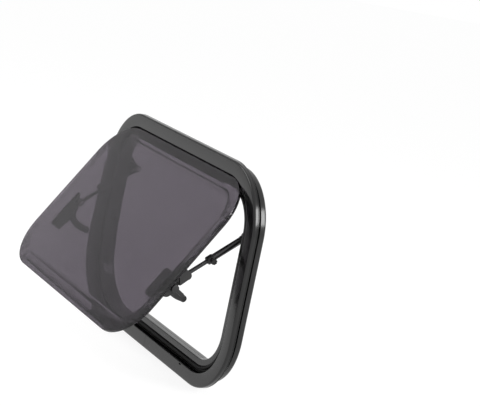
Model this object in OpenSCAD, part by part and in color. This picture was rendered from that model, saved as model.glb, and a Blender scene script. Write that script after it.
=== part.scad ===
// Top-hung caravan window: a bent aluminium frame with its clamp ring, a double acrylic
// pane that swings outward, two telescopic stays and two lever latches.
// X runs to the right as seen from outside, Z up and Y into the wall. The origin lies on
// the back of the frame's flange, where it seats on the wall, halfway along the bottom.

/* [Overall] */
// Width of the frame over its flange
frame_w = 530; // [480:5:800]
// Height of the frame over its flange
frame_h = 360; // [340:5:560]
// Outer corner radius of the flange
corner_r = 100; // [88:1:130]
// How far the pane stands open
open_angle = 34.3; // [30:0.1:38]

/* [Frame section] */
// Height of the flange above the wall
flange_h = 9; // [8:0.5:11]
// Radius of the flange's rolled outer edge
flange_roll = 6; // [4:0.5:7]
// Width of the flange's face, from its rim to the lip beside the pane
face_w = 22.5; // [21:0.5:24]
// Inset of the web that passes through the wall's cut-out
web_inset = 17; // [15:0.5:18]
// Thickness of the frame's webs
web_t = 2; // [1.5:0.1:2.5]
// Inset of the inner sleeve, which is the edge of the clear opening
sleeve_inset = 44; // [43:0.5:46]
// Depth of the rebate's floor behind the flange's back
rebate_d = 2; // [1:0.5:3]
// Gap between the frame's flange and the clamp ring, where the wall goes
wall_gap = 8; // [6:0.5:12]

/* [Clamp ring] */
// Inset of the ring's rim from the flange's rim
ring_inset = 9; // [7:0.5:11]
// Depth of the ring
ring_d = 10.5; // [9:0.5:14]
// Wall thickness of the ring
ring_t = 2.5; // [2:0.1:3]
// Radius of the ring's rounded back edges
ring_roll = 4; // [3:0.25:5]

/* [Pane] */
// Gap between the frame's lip and the pane
pane_gap = 6; // [5:0.25:7]
// Thickness of the outer sheet
sheet_t = 3; // [2:0.25:4]
// Thickness of the moulded inner sheet
shell_t = 2; // [1.5:0.25:2.5]
// How deep the inner sheet is moulded
shell_d = 12.5; // [10:0.5:13]
// Gap between the moulded part and the sleeve
shell_gap = 6; // [5:0.25:8]
// How far the moulded wall leans in from foot to top
shell_lean = 6; // [3:0.5:8]

/* [Stays] */
// Distance of the stays from the edge of the clear opening
stay_in = 20; // [18:0.5:24]
// Outer diameter of the tube
tube_dia = 10.5; // [9:0.5:11]
// Length of the tube from its pivot
tube_len = 71; // [62:1:71]
// Diameter of the rod
rod_dia = 6; // [5:0.25:6.5]
// Height of the frame's stay pivot above the middle of the window
stay_z = 71; // [71:1:84]
// Depth of the frame's stay pivot behind the flange's back
stay_y = 19; // [18.5:0.5:22]

/* [Latches] */
// Length of the lever from its pivot
lever_len = 46; // [42:1:56]
// Depth of the latch pivot below the middle of the window
latch_z = -36; // [-60:1:-35]
// Diameter of the latch spindle
spindle_dia = 7; // [6:0.5:8]

/* [Hidden] */
$fn = 64;

// Running clearance of a pin in its bore
fit = 0.3;
// Clearance between pieces that slide or turn beside each other
side_gap = 0.5;

// The origin sits in the middle of the flange's seat, so the window's centre is this high
seat_u = web_inset / 2;
mid_z = frame_h / 2 - seat_u;

// Levels of the section, measured outward from the flange's back
land_out = 0.5;
ring_front = -wall_gap;
ring_back = -wall_gap - ring_d;
pane_out = flange_h - 0.5;
shell_out = pane_out - sheet_t;
edge_out = shell_out - shell_t;
shell_back = shell_out - shell_d;

// Insets of the section, measured inward from the flange's rim
land_u = 34;
port_u = [27, 33];
pane_u = face_w + pane_gap;
shell_u = sleeve_inset + shell_gap;
shell_top_u = shell_u + shell_lean;

// The hinge runs along the top edge of the pane
bead_r = 1.4;
socket_r = 2.4;
hinge_u = pane_u + 2;
hinge_out = edge_out - 3;
hinge_z = frame_h / 2 - hinge_u;
hinge_end = 10;
hinge_len = frame_w - 2 * (corner_r + hinge_end);
leaf_t = 1.6;
leaf_w = 12;

// Above this height the frame's side curves in, and a stay hung there moves in with it
bend_z = frame_h / 2 - corner_r;
bend_r = corner_r - sleeve_inset;
ear_r = 7.8;
stay_bow = bend_r - sqrt(pow(bend_r, 2) - pow(max(0, stay_z + ear_r - bend_z), 2));

// Places of the stays and latches on the right, in the closed window
latch_x = frame_w / 2 - sleeve_inset - stay_in;
stay_x = latch_x - stay_bow;
pane_face = -shell_back;
lug_y = pane_face + 15.5;
lug_z = -9;
base_t = 3;
spindle_y = pane_face + 10;
latch_y = pane_face + 17;
lever_in = [22.5, 13.5];
lever_x = [latch_x - lever_in[0], latch_x - lever_in[1]];
body_x = [latch_x - 13, latch_x + 8];
hook_x = [latch_x + 8.5, latch_x + 14.5];
hook_r = 6;
hook_half = 3;
hook_len = 19;
pin_r = 2.5;
eye_r = 6;
eye_sleeve_r = rod_dia / 2 + 1;
eye_half = eye_sleeve_r + 0.3;
rod_seat = 0.05;
through = 200;
base_low = 33;
slot_z = [5, 10];
slot_deep = 4;
top_slope = 10;
body_top = 17;
body_low = 20;
lug_x = [stay_x + eye_half + side_gap, stay_x + eye_half + side_gap + 3.5];
plug_low = 20;
shut_len = norm([lug_y - stay_y, lug_z - stay_z]);
rod_len = shut_len - plug_low - 2.5;
rod_low = 4;
collar_low = 1.5;
collar_h = 12;
bore_r = rod_dia / 2 + side_gap;
collar_r = tube_dia / 2 + 1.4;

// Where the lug stands when the pane is open, and how the stay then lies
function turned(p, a) = let (q = [p[0] + hinge_out, p[1] - hinge_z])
    [q[0] * cos(a) + q[1] * sin(a) - hinge_out, q[1] * cos(a) - q[0] * sin(a) + hinge_z];
stay_run = turned([lug_y, lug_z], open_angle) - [stay_y, stay_z];
stay_len = norm(stay_run);
stay_tilt = atan2(-stay_run[0], -stay_run[1]);

// Points of an arc round c, from angle a to angle b
function arc(c, r, a, b, n = 8) =
    [for (i = [0:n]) c + r * [cos(a + (b - a) * i / n), sin(a + (b - a) * i / n)]];

// Stand a flat shape up: its X stays, its Y becomes Z and its Z points outward
module upright() {
    translate([0, 0, mid_z]) rotate([90, 0, 0]) children();
}

// Sweep a section round a rounded rectangle; the section's X runs inward from the outline
module swept(w, h, r) {
    for (k = [0:3]) {
        along = k % 2 == 0 ? w : h;
        across = k % 2 == 0 ? h : w;
        rotate([0, 0, 90 * k]) {
            translate([r - along / 2, -across / 2, 0])
                rotate([90, 0, 90]) linear_extrude(along - 2 * r) children();
            translate([along / 2 - r, r - across / 2, 0])
                rotate([0, 0, -90]) rotate_extrude(angle = 90) translate([r, 0]) mirror([1, 0]) children();
        }
    }
}

// A rectangle with round corners
module rounded(w, h, r) {
    square([w - 2 * r, h], center = true);
    square([w, h - 2 * r], center = true);
    for (x = [-1, 1], y = [-1, 1])
        translate([x * (w / 2 - r), y * (h / 2 - r)]) circle(r);
}

// The flange's outline moved in by u
module inset_outline(u) {
    rounded(frame_w - 2 * u, frame_h - 2 * u, corner_r - u);
}

// What is given for the right-hand side, on either side
module on_side(side) {
    mirror([side > 0 ? 0 : 1, 0, 0]) children();
}

// Places given in the closed window swing with the pane about the hinge
module on_pane() {
    translate([0, -hinge_out, mid_z + hinge_z]) rotate([-open_angle, 0, 0])
        translate([0, hinge_out, -mid_z - hinge_z]) children();
}

// The stay's own place: its pivot at the origin and its tube running down
module on_stay() {
    translate([stay_x, stay_y, mid_z + stay_z]) rotate([-stay_tilt, 0, 0]) children();
}

// The lever's own place: its pivot at the origin, and up is where it points when latched
module on_lever() {
    on_pane() translate([0, spindle_y, mid_z + latch_z]) rotate([-90, 0, 0]) children();
}

// A cylinder along X between two places
module bar_x(x0, x1, r) {
    translate([x0, 0, 0]) rotate([0, 90, 0]) cylinder(h = x1 - x0, r = r);
}

// A slab along X between two places, from an outline given in Y and Z
module slab_x(x0, x1) {
    translate([x0, 0, 0]) rotate([90, 0, 90]) linear_extrude(x1 - x0) children();
}

// Two fine grooves run along the flange's upright side
groove_d = 0.4;
function groove(at, half) = [[0, at - half], [groove_d, at - half / 2], [groove_d, at + half / 2], [0, at + half]];

// The frame is one bent profile
module frame_section() {
    web_back = -rebate_d - web_t;
    side = flange_h - flange_roll;
    polygon(concat(
        [[0, 0]],
        groove(side * 0.3, side * 0.12),
        groove(side * 0.75, side * 0.12),
        arc([flange_roll, flange_h - flange_roll], flange_roll, 180, 90),
        arc([face_w - 1, flange_h - 1], 1, 90, 0, 3),
        [[face_w, -rebate_d], [land_u, -rebate_d], [land_u, land_out]],
        arc([sleeve_inset - 1, land_out - 1], 1, 90, 0, 3),
        [[sleeve_inset, ring_front], [sleeve_inset - web_t, ring_front],
         [sleeve_inset - web_t, web_back], [port_u[1], web_back],
         [port_u[1], ring_back + ring_t], [port_u[0], ring_back + ring_t],
         [port_u[0], web_back], [web_inset + web_t, web_back],
         [web_inset + web_t, ring_front - 4], [web_inset, ring_front - 4], [web_inset, 0]]));
}

module outer_frame() {
    color([0.1, 0.1, 0.1]) upright() swept(frame_w, frame_h, corner_r) frame_section();
}

// The ring is a channel that closes over the frame's webs
module ring_section() {
    difference() {
        polygon(concat(
            [[ring_inset, ring_front], [sleeve_inset, ring_front]],
            arc([sleeve_inset - ring_roll, ring_back + ring_roll], ring_roll, 0, -90),
            arc([ring_inset + ring_roll, ring_back + ring_roll], ring_roll, -90, -180)));
        translate([ring_inset + ring_t, ring_back + ring_t])
            square([sleeve_inset - ring_inset - 2 * ring_t, ring_d]);
    }
}

module clamp_ring() {
    color([0.12, 0.12, 0.12]) upright() swept(frame_w, frame_h, corner_r) ring_section();
}

module seal_section() {
    bulb_r = (edge_out - fit + rebate_d) / 2;
    translate([face_w + 0.5, -rebate_d]) square([land_u - face_w - 1, 1.5]);
    translate([land_u - 0.5 - bulb_r, bulb_r - rebate_d]) circle(bulb_r);
}

// The seal runs round the sides and the bottom, and the hinge closes the top
module window_seal() {
    color([0.03, 0.03, 0.03]) upright() difference() {
        swept(frame_w, frame_h, corner_r) seal_section();
        translate([-hinge_len / 2 - 4, frame_h / 2 - land_u - 2, -through / 2])
            cube([hinge_len + 8, through, through]);
    }
}

// The hinge's section: X runs down from its axis and Y outward
module along_hinge() {
    translate([hinge_len / 2, -hinge_out, mid_z + hinge_z]) rotate([0, 90, 180])
        linear_extrude(hinge_len) children();
}

module hinge_channel() {
    color([0.08, 0.08, 0.08]) along_hinge() difference() {
        union() {
            circle(socket_r);
            translate([-3, -hinge_out - rebate_d]) square([6, 1.5]);
        }
        circle(bead_r + fit);
        polygon([[0, 0], [12, 1], [12, 12], [-8.4, 12]]);
    }
}

module hinge_leaf() {
    leaf_top = edge_out - hinge_out;
    color([0.08, 0.08, 0.08]) on_pane() along_hinge() union() {
        circle(bead_r);
        polygon([[0.6, 0.2], [2.4, leaf_top - leaf_t], [2.4, leaf_top - 0.1], [0.3, bead_r - 0.05]]);
        translate([2.2, leaf_top - leaf_t]) square([leaf_w, leaf_t]);
    }
}

module outer_pane() {
    color([0.35, 0.33, 0.37, 0.5]) on_pane() upright()
        translate([0, 0, shell_out]) linear_extrude(sheet_t) inset_outline(pane_u);
}

// The inner sheet: a flat edge bonded to the outer one, a leaning wall and a flat middle
module shell_section() {
    polygon([[pane_u, shell_out], [pane_u, edge_out], [shell_u, edge_out], [shell_top_u, shell_back],
             [shell_top_u + 10, shell_back], [shell_top_u + 10, shell_back + shell_t],
             [shell_top_u + shell_t, shell_back + shell_t], [shell_u + shell_t, shell_out]]);
}

module inner_pane() {
    color([0.35, 0.33, 0.37, 0.5]) on_pane() upright() {
        swept(frame_w, frame_h, corner_r) shell_section();
        translate([0, 0, shell_back]) linear_extrude(shell_t) inset_outline(shell_top_u + 9);
    }
}

// Each stay hangs on a bracket behind the clamp ring
bracket_x = frame_w / 2 - sleeve_inset - 5 - stay_bow;
bracket_w = 27;
bracket_h = 28;
rib_h = 18;
module stay_bracket(side) {
    plate_y = -ring_back;
    color([0.06, 0.06, 0.06]) on_side(side) translate([0, 0, mid_z + stay_z]) difference() {
        union() {
            translate([bracket_x, plate_y, -bracket_h / 2]) cube([bracket_w, 2.5, bracket_h]);
            slab_x(bracket_x, bracket_x + 3.5) union() {
                translate([plate_y, -rib_h / 2]) square([stay_y - plate_y + 3.5, rib_h]);
                translate([stay_y, 0]) circle(ear_r);
            }
            translate([0, stay_y, 0]) bar_x(stay_x + 6, bracket_x + 1, 6.8);
        }
        translate([0, stay_y, 0]) bar_x(0, frame_w, pin_r + 0.1);
    }
}

module stay_pin(side) {
    color([0.4, 0.4, 0.4]) on_side(side) translate([0, stay_y, mid_z + stay_z]) {
        bar_x(stay_x - 7, bracket_x + 3, pin_r);
        bar_x(stay_x - 8.5, stay_x - 6, 4.5);
    }
}

// The head turns on the pin and plugs into the tube
module stay_head(side) {
    color([0.06, 0.06, 0.06]) on_side(side) on_stay() difference() {
        union() {
            bar_x(-5.5, 5.5, 6.5);
            translate([0, 0, -14]) cylinder(h = 12, r = tube_dia / 2);
            translate([0, 0, -plug_low]) cylinder(h = 10, r = bore_r - 0.1);
        }
        bar_x(-6, 6, pin_r + fit);
    }
}

module stay_tube(side) {
    color([0.1, 0.1, 0.1]) on_side(side) on_stay() translate([0, 0, -tube_len]) difference() {
        cylinder(h = tube_len - 14, r = tube_dia / 2);
        translate([0, 0, -1]) cylinder(h = tube_len, r = bore_r);
    }
}

module stay_collar(side) {
    color([0.06, 0.06, 0.06]) on_side(side) on_stay() translate([0, 0, -tube_len - collar_low]) difference() {
        union() {
            cylinder(h = collar_h, r = collar_r);
            translate([0, 0, collar_h / 2]) bar_x(0, collar_r + 1.5, 3.6);
        }
        translate([0, 0, -1]) cylinder(h = 5, r = rod_dia / 2 + fit);
        translate([0, 0, collar_low]) cylinder(h = collar_h, r = tube_dia / 2 + 0.1);
    }
}

// The thumb screw that clamps the rod points at the frame's side
module stay_knob(side) {
    middle = collar_h / 2 - collar_low - tube_len;
    color([0.05, 0.05, 0.05]) on_side(side) on_stay() translate([0, 0, middle]) difference() {
        union() {
            bar_x(collar_r + 1.5, collar_r + 4, 2);
            bar_x(collar_r + 3, collar_r + 8.2, 4.8);
        }
        for (a = [0:45:315])
            rotate([a, 0, 0]) translate([0, 0, 5.4]) bar_x(collar_r + 2.5, collar_r + 9, 1.2);
    }
}

module stay_rod(side) {
    color([0.3, 0.3, 0.3]) on_side(side) on_stay() translate([0, 0, rod_low - stay_len])
        cylinder(h = rod_len - rod_low, r = rod_dia / 2);
}

// The rod's eye lies beside the lug; its rivet ends short of the lug
module stay_eye(side) {
    color([0.06, 0.06, 0.06]) on_side(side) on_stay() translate([0, 0, -stay_len]) difference() {
        union() {
            bar_x(-eye_half, eye_half, eye_r);
            bar_x(-eye_half - 1.5, 0, 3.5);
            translate([0, 0, 2]) cylinder(h = 4.5, r = eye_sleeve_r);
        }
        translate([0, 0, rod_low]) cylinder(h = through, r = rod_dia / 2 + rod_seat);
    }
}

module stay_lug(side) {
    color([0.06, 0.06, 0.06]) on_side(side) on_pane() translate([0, 0, mid_z])
        slab_x(lug_x[0], lug_x[1]) union() {
            translate([pane_face + base_t, lug_z - 6.3]) square([lug_y - pane_face - base_t, 12.6]);
            translate([lug_y, lug_z]) circle(6.5);
        }
}

// The latch is screwed to the inner sheet on a base plate, whose tongue carries the lug
module latch_base(side) {
    left = lever_x[0] - 9.5;
    right = body_x[1] - 0.2;
    top = latch_z + body_top + 1;
    bottom = latch_z - base_low;
    tongue_w = 12;
    tongue_top = lug_z + 11;
    color([0.07, 0.07, 0.07]) on_side(side) on_pane() upright()
        translate([0, 0, shell_back - base_t]) linear_extrude(base_t) union() {
            translate([(left + right) / 2, (top + bottom) / 2]) rounded(right - left, top - bottom, 7);
            translate([right - tongue_w / 2, (tongue_top + top) / 2 - 5])
                rounded(tongue_w, tongue_top - top + 10, 4);
        }
}

// The body is a housing with a sloping top, a round lower lobe and a slot in its side
module latch_body(side) {
    foot = pane_face + base_t;
    wide = body_x[1] - body_x[0];
    crown = latch_y;
    color([0.07, 0.07, 0.07]) on_side(side) on_pane() translate([0, 0, mid_z + latch_z]) difference() {
        intersection() {
            slab_x(body_x[0], body_x[1])
                polygon(concat([[foot, -body_low], [foot, body_top], [foot + 4, body_top]],
                               arc([crown - slot_deep, body_top - top_slope], slot_deep, 50, 0, 4),
                               arc([crown - 10, 10 - body_low], 10, 0, -90, 8)));
            translate([body_x[0] + wide / 2, 0, (body_top - body_low) / 2]) rotate([90, 0, 0])
                linear_extrude(through, center = true) union() {
                    translate([0, 4]) rounded(wide, body_top + body_low - 8, 3);
                    translate([-1.5, 0]) rounded(wide - 3, body_top + body_low, 6);
                }
        }
        translate([0, spindle_y, 0]) bar_x(0, frame_w, spindle_dia / 2 + fit);
        translate([body_x[1] - slot_z[0], foot + slot_deep, slot_z[0]])
            cube([through, through, slot_z[1] - slot_z[0]]);
    }
}

module latch_spindle(side) {
    color([0.3, 0.3, 0.3]) on_side(side) on_lever() bar_x(lever_x[1], hook_x[0], spindle_dia / 2);
}

// The lever bows inward like a horn, from its hub to a blunt round end
module latch_lever(side) {
    grip_r = 5.6;
    grip_lift = 0.6;
    hub_r = spindle_y - pane_face - base_t - 0.6;
    tip = lever_len - grip_r;
    bow = 5;
    bend = (tip * tip / 4 + bow * bow) / (2 * bow);
    half = asin(tip / 2 / bend);
    wide = lever_x[1] - lever_x[0];
    mid = (lever_x[0] + lever_x[1]) / 2;
    color([0.07, 0.07, 0.07]) on_side(side) on_lever() union() {
        bar_x(lever_x[0], lever_x[1], hub_r);
        intersection() {
            slab_x(lever_x[0] + 0.5, lever_x[1] - 0.5)
                polygon(concat([for (i = [0:16]) lever_edge(bow, bend, half, tip, i / 16, hub_r - 1)],
                               [for (i = [16:-1:0]) lever_edge(bow, bend, half, tip, i / 16, 1 - hub_r)]));
            translate([mid, 0, 0]) rotate([90, 0, 0]) linear_extrude(through, center = true)
                polygon([[-wide / 2 + 0.5, 0], [wide / 2 - 0.5, 0], [wide / 2 - 1.2, tip * 0.5],
                         [wide / 2 - 1.2, tip], [1.2 - wide / 2, tip], [1.2 - wide / 2, tip * 0.5]]);
        }
        translate([0, grip_lift, tip]) {
            bar_x(mid - wide / 2 + 1, mid + wide / 2 - 1, grip_r - 0.8);
            bar_x(mid - wide / 2 + 1.8, mid + wide / 2 - 1.8, grip_r);
        }
    }
}

// A point on the lever's edge, at a share s of its bow; it narrows a little from the hub
function lever_edge(bow, bend, half, tip, s, root) =
    let (a = half * (2 * s - 1), shank = root > 0 ? 4.3 : -4.3,
         off = shank + (root - shank) * pow(max(0, 1 - s / 0.6), 1.5))
    [bow - bend + (bend + off) * cos(a), tip / 2 + (bend + off) * sin(a)];

// The hook turns with the lever and comes to lie behind the keeper
module latch_hook(side) {
    color([0.3, 0.3, 0.3]) on_side(side) on_lever() slab_x(hook_x[0], hook_x[1]) union() {
        circle(hook_r);
        translate([-hook_half, 0]) square([2 * hook_half, hook_len - hook_half]);
        translate([0, hook_len - hook_half]) circle(hook_half);
    }
}

// The keeper is an angle: a plate on the sleeve, and a catch whose nose is rounded
module keeper(side) {
    wall_x = frame_w / 2 - sleeve_inset;
    catch_y = spindle_y - hook_half - side_gap;
    low = hook_r + 5;
    nose = 3;
    color([0.3, 0.3, 0.3]) on_side(side) translate([0, 0, mid_z + latch_z]) union() {
        slab_x(wall_x - 2, wall_x)
            translate([catch_y - 3.5, low + 9]) rounded(14, 18, 3);
        translate([hook_x[0] + 1 + nose, catch_y - 2 * nose, low]) linear_extrude(8) union() {
            square([wall_x - hook_x[0] - 2 - nose, 2 * nose]);
            translate([0, nose]) circle(nose);
        }
    }
}

outer_frame();
clamp_ring();
window_seal();
hinge_channel();
keeper(-1);  // keeper_left
keeper(1);  // keeper_right
stay_bracket(-1);  // stay_bracket_left
stay_bracket(1);  // stay_bracket_right
stay_pin(-1);  // stay_pin_left
stay_pin(1);  // stay_pin_right
outer_pane();
inner_pane();
hinge_leaf();
latch_base(-1);  // latch_base_left
latch_base(1);  // latch_base_right
latch_body(-1);  // latch_body_left
latch_body(1);  // latch_body_right
stay_lug(-1);  // stay_lug_left
stay_lug(1);  // stay_lug_right
stay_head(-1);  // stay_head_left
stay_head(1);  // stay_head_right
stay_tube(-1);  // stay_tube_left
stay_tube(1);  // stay_tube_right
stay_collar(-1);  // stay_collar_left
stay_collar(1);  // stay_collar_right
stay_knob(-1);  // stay_knob_left
stay_knob(1);  // stay_knob_right
stay_rod(-1);  // stay_rod_left
stay_rod(1);  // stay_rod_right
stay_eye(-1);  // stay_eye_left
stay_eye(1);  // stay_eye_right
latch_lever(-1);  // latch_lever_left
latch_lever(1);  // latch_lever_right
latch_spindle(-1);  // latch_spindle_left
latch_spindle(1);  // latch_spindle_right
latch_hook(-1);  // latch_hook_left
latch_hook(1);  // latch_hook_right
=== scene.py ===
import math

import bmesh
import bpy
from mathutils import Matrix, Vector


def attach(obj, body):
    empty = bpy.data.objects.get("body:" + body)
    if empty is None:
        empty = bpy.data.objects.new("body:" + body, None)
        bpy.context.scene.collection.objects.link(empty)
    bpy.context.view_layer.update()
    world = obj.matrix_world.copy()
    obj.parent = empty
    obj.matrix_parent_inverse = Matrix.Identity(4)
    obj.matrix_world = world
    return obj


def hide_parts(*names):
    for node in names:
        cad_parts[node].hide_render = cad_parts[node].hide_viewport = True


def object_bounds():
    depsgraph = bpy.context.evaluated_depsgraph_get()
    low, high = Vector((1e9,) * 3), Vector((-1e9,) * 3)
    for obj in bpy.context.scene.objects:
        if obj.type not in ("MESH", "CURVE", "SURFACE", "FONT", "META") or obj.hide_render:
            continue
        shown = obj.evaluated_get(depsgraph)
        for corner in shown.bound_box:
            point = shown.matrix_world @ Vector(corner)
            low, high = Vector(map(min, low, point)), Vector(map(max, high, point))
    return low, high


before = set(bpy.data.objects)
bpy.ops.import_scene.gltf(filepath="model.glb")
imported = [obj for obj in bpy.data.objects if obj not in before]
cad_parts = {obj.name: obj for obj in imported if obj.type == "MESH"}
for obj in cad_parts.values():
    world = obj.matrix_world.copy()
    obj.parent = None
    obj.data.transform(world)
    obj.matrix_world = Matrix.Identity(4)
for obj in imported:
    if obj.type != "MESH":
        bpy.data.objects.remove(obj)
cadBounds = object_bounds()
scene = bpy.context.scene
print("window frame loaded:", len(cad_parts), "nodes")

# Everything below is in millimetres until a mesh is placed.
millimetre = 0.001
window = {
    "width": 530, "height": 360, "corner": 100,  # over the flange
    "midHeight": 171.5,  # the window's centre above the seat's origin
    "flangeOut": 9, "faceWidth": 22.5, "sleeveInset": 44, "rebate": 2,
    "ringFront": -8, "ringBack": -18.5, "ringInset": 9,
    "paneInset": 28.5, "sheetOut": 8.5, "shellOut": 5.5, "edgeOut": 3.5, "shellBack": -7,
    "hingeOut": 0.5, "hingeUp": 149.5, "hingeLength": 310, "open": 34.3,
    "stayX": 201, "stayY": 19, "stayUp": 71, "stayTilt": 53.941, "stayLength": 111.105,
    "spindleY": 17, "latchUp": -36, "paneFace": 7,
}
sides = {"left": -1, "right": 1}


# Places
def shift(x, y, z):
    return Matrix.Translation((x, y, z))


def turnX(degrees):
    return Matrix.Rotation(math.radians(degrees), 4, "X")


hingeHeight = window["midHeight"] + window["hingeUp"]
onWall = Matrix.Identity(4)
onPane = shift(0, -window["hingeOut"], hingeHeight) @ turnX(-window["open"]) @ shift(0, window["hingeOut"], -hingeHeight)
onStay = shift(window["stayX"], window["stayY"], window["midHeight"] + window["stayUp"]) @ turnX(-window["stayTilt"])
onLever = onPane @ shift(0, window["spindleY"], window["midHeight"] + window["latchUp"]) @ turnX(-90)


def onSide(side, place):
    return Matrix.Diagonal((sides[side], 1, 1, 1)) @ place


# Outlines
def filleted(corners, steps=5):  # corners are (x, y, radius)
    points = []
    count = len(corners)
    for i, (x, y, radius) in enumerate(corners):
        here = Vector((x, y))
        before = Vector(corners[i - 1][:2]) - here
        after = Vector(corners[(i + 1) % count][:2]) - here
        half = before.angle(after) / 2
        if radius <= 0 or half > 1.55:
            points.append((x, y))
            continue
        reach = min(radius / math.tan(half), 0.49 * before.length, 0.49 * after.length)
        radius = reach * math.tan(half)
        centre = here + (before.normalized() + after.normalized()).normalized() * radius / math.sin(half)
        start = here + before.normalized() * reach - centre
        end = here + after.normalized() * reach - centre
        first = math.atan2(start.y, start.x)
        sweepAngle = (math.atan2(end.y, end.x) - first + math.pi) % (2 * math.pi) - math.pi
        for k in range(steps + 1):
            a = first + sweepAngle * k / steps
            points.append((centre.x + radius * math.cos(a), centre.y + radius * math.sin(a)))
    return points


def arcPoints(cx, cy, radius, first, last, steps=10):
    return [(cx + radius * math.cos(math.radians(first + (last - first) * k / steps)),
             cy + radius * math.sin(math.radians(first + (last - first) * k / steps))) for k in range(steps + 1)]


def roundedBox(x0, y0, x1, y1, radius, steps=6):
    return filleted([(x0, y0, radius), (x1, y0, radius), (x1, y1, radius), (x0, y1, radius)], steps)


def counterClockwise(points):
    area = sum(a[0] * b[1] - b[0] * a[1] for a, b in zip(points, points[1:] + points[:1]))
    return points if area > 0 else points[::-1]


def movedIn(points, distance):  # an outline moved in by a small distance
    points = counterClockwise(points)
    result = []
    for i, here in enumerate(points):
        a = Vector(here) - Vector(points[i - 1])
        b = Vector(points[(i + 1) % len(points)]) - Vector(here)
        a, b = a.normalized(), b.normalized()
        na, nb = Vector((-a.y, a.x)), Vector((-b.y, b.x))
        move = (na + nb) / max(0.3, 1 + na.dot(nb))
        result.append((here[0] + move.x * distance, here[1] + move.y * distance))
    return result


# Forms: each is a list of loops of points, closed by a face at both ends
def edged(points, low, high, chamfer):
    points = counterClockwise(points)
    if chamfer <= 0:
        return [(points, low), (points, high)]
    stations = []
    for k in range(4):  # a rounded edge in three steps
        a = math.radians(30 * k)
        stations.append((chamfer * (1 - math.sin(a)), chamfer * (1 - math.cos(a))))
    loops = [(movedIn(points, inset), low + depth) for inset, depth in stations]
    return loops + [(movedIn(points, inset), high - depth) for inset, depth in stations[::-1]]


def slabX(points, low, high, chamfer=0.4):  # points are (y, z)
    return [[(x, y, z) for y, z in loop] for loop, x in edged(points, low, high, chamfer)]


def plateY(points, low, high, chamfer=0.4):  # points are (x, z)
    return [[(x, y, z) for x, z in loop] for loop, y in edged(points, low, high, chamfer)]


def turnedX(stations, y=0, z=0, segments=40):  # stations are (x, radius)
    return [[(x, y + r * math.cos(2 * math.pi * k / segments), z + r * math.sin(2 * math.pi * k / segments))
             for k in range(segments)] for x, r in stations]


def turnedZ(stations, segments=40):  # stations are (z, radius)
    return [[(r * math.cos(2 * math.pi * k / segments), r * math.sin(2 * math.pi * k / segments), z)
             for k in range(segments)] for z, r in stations]


def barrel(low, high, radius, soft):  # stations of a bar with rounded ends
    turns = [math.radians(22.5 * k) for k in range(5)]
    stations = [(low + soft * (1 - math.cos(a)), radius - soft * (1 - math.sin(a))) for a in turns]
    return stations + [(high + low - s, r) for s, r in stations[::-1]]


def rimPath(startX=0.0, cornerSteps=28):  # points and outward directions, round the flange's rim, clockwise from the top
    halfWidth, halfHeight, r = window["width"] / 2, window["height"] / 2, window["corner"]
    points = [(startX, halfHeight, 0, 1)]
    for cx, cz, first in ((halfWidth - r, halfHeight - r, 90), (halfWidth - r, r - halfHeight, 0),
                          (r - halfWidth, r - halfHeight, -90), (r - halfWidth, halfHeight - r, 180)):
        for k in range(cornerSteps + 1):
            a = math.radians(first - 90 * k / cornerSteps)
            points.append((cx + r * math.cos(a), cz + r * math.sin(a), math.cos(a), math.sin(a)))
    points.append((-startX, halfHeight, 0, 1))
    return points


def along(path, section):  # section points are (inset from the rim, outward)
    return [[(x - nx * u, -out, window["midHeight"] + z - nz * u) for u, out in section] for x, z, nx, nz in path]


def rings(steps):  # whole loops round the window, one for each (inset, outward)
    path = rimPath()[1:-1]
    return [[(x - nx * u, -out, window["midHeight"] + z - nz * u) for x, z, nx, nz in path] for u, out in steps]


def meshOf(name, forms, closeRound=False):
    bm = bmesh.new()
    uv = bm.loops.layers.uv.new("surface")
    for loops in forms:
        rows = [[bm.verts.new(p) for p in loop] for loop in loops]
        count = len(rows[0])
        across = [0.0]
        for a, b in zip(loops[0], loops[0][1:] + loops[0][:1]):
            across.append(across[-1] + (Vector(a) - Vector(b)).length * millimetre)
        travelled = 0.0
        for a, b in zip(rows, rows[1:] + rows[:1] if closeRound else rows[1:]):
            step = (a[0].co - b[0].co).length * millimetre
            for i in range(count):
                j = (i + 1) % count
                face = bm.faces.new((a[i], a[j], b[j], b[i]))
                for loop, place in zip(face.loops, ((across[i], travelled), (across[i + 1], travelled),
                                                    (across[i + 1], travelled + step), (across[i], travelled + step))):
                    loop[uv].uv = place
            travelled += step
        if not closeRound:
            for row in (rows[0], rows[-1]):
                face = bm.faces.new(row)
                for loop in face.loops:
                    loop[uv].uv = (loop.vert.co.x * millimetre, loop.vert.co.z * millimetre)
    bmesh.ops.recalc_face_normals(bm, faces=bm.faces)
    mesh = bpy.data.meshes.new(name)
    bm.to_mesh(mesh)
    bm.free()
    return mesh


def evaluated(obj):  # the object's modifiers made real, and the object taken away
    graph = bpy.context.evaluated_depsgraph_get()
    mesh = bpy.data.meshes.new_from_object(obj.evaluated_get(graph))
    bpy.data.objects.remove(obj)
    return mesh


def cutterFor(obj, forms):  # an object in the shape of the forms, for a Boolean on obj
    cutter = bpy.data.objects.new(obj.name + "Cutter", meshOf(obj.name + "Cutter", forms))
    scene.collection.objects.link(cutter)
    cut = obj.modifiers.new("cut", "BOOLEAN")
    cut.operation, cut.object, cut.solver = "DIFFERENCE", cutter, "EXACT"
    return cutter


def trimmed(name, mesh, cuts):  # the mesh less the cut forms
    obj = bpy.data.objects.new(name, mesh)
    scene.collection.objects.link(obj)
    cutter = cutterFor(obj, cuts)
    bpy.context.view_layer.update()
    made = evaluated(obj)
    bpy.data.objects.remove(cutter)
    return made


def skinned(obj, voxel):
    skin = obj.modifiers.new("skin", "REMESH")
    skin.mode, skin.voxel_size = "VOXEL", voxel


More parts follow.
